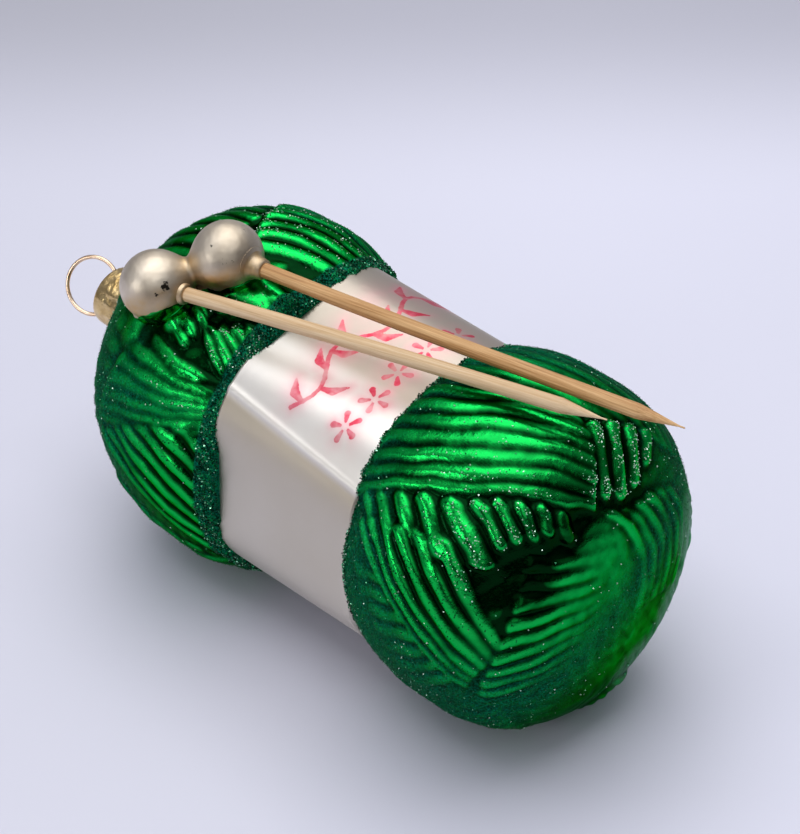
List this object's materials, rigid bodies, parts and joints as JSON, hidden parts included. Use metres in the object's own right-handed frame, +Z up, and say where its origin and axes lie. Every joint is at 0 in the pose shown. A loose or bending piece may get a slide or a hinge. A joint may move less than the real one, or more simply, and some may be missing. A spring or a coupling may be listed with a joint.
{
  "type": "yarn skein glass ornament",
  "caption": "Mouth-blown glass ornament shaped like a banded skein of yarn, with wooden knitting needles seated in ball heads, a gold crown cap and a wire hanging loop.",
  "frame": {"origin": "middle of the bottom of the bounding box, on the surface that the ornament lies on", "axes": "+X runs along the skein from the hanging loop to the large round end, +Z is up, +Y completes the right-handed set"},
  "size_m": [0.1332, 0.0586, 0.0664],
  "materials": {
    "green_lacquered_glass": "clear green lacquer over silvering, glossy, sprinkled with green glitter",
    "pearl_lacquered_glass": "pearl white lacquer, satin, with a red hand-painted motif",
    "champagne_silvered_glass": "satin champagne silvering with worn dark specks",
    "green_glitter": "loose mirror flakes set in clear glue",
    "bamboo": "raw split bamboo with fine lengthwise fibres",
    "gold_cap": "thin stamped foil, bright gold",
    "gilt_wire": "drawn wire, bright, pale gold"
  },
  "bodies": {
    "root": {"glass_body": "green_lacquered_glass", "needle_left": "bamboo", "needle_right": "bamboo", "cap": "gold_cap", "hanging_loop": "gilt_wire"}
  },
  "joints": []
}
